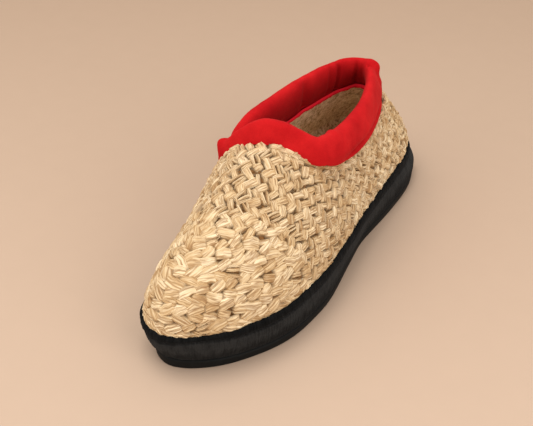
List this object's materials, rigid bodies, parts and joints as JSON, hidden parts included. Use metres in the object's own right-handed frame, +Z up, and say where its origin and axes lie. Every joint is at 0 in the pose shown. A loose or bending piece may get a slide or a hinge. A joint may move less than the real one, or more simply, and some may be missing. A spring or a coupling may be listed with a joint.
{
  "type": "straw shoe",
  "caption": "Left slip-on shoe with a hollow plaited straw upper, a padded red velvet collar and a thick black cloth platform on a flat outsole.",
  "frame": {"origin": "middle of the whole box, on the floor", "axes": "+Z up, toe toward -Y, heel toward +Y, outer side of the foot toward +X"},
  "size_m": [0.0996, 0.2818, 0.1133],
  "materials": {
    "outsole": "matte black rubber",
    "platform_cloth": "black napped cloth",
    "binding_cloth": "black cloth tape",
    "straw": "plaited dry straw, slightly glossy",
    "collar_velvet": "soft red velvet over padding",
    "felt": "brown mottled felt"
  },
  "bodies": {
    "root": {"outsole": "outsole", "platform": "platform_cloth", "binding": "binding_cloth", "upper": "straw", "collar": "collar_velvet", "insole": "felt"}
  },
  "joints": []
}
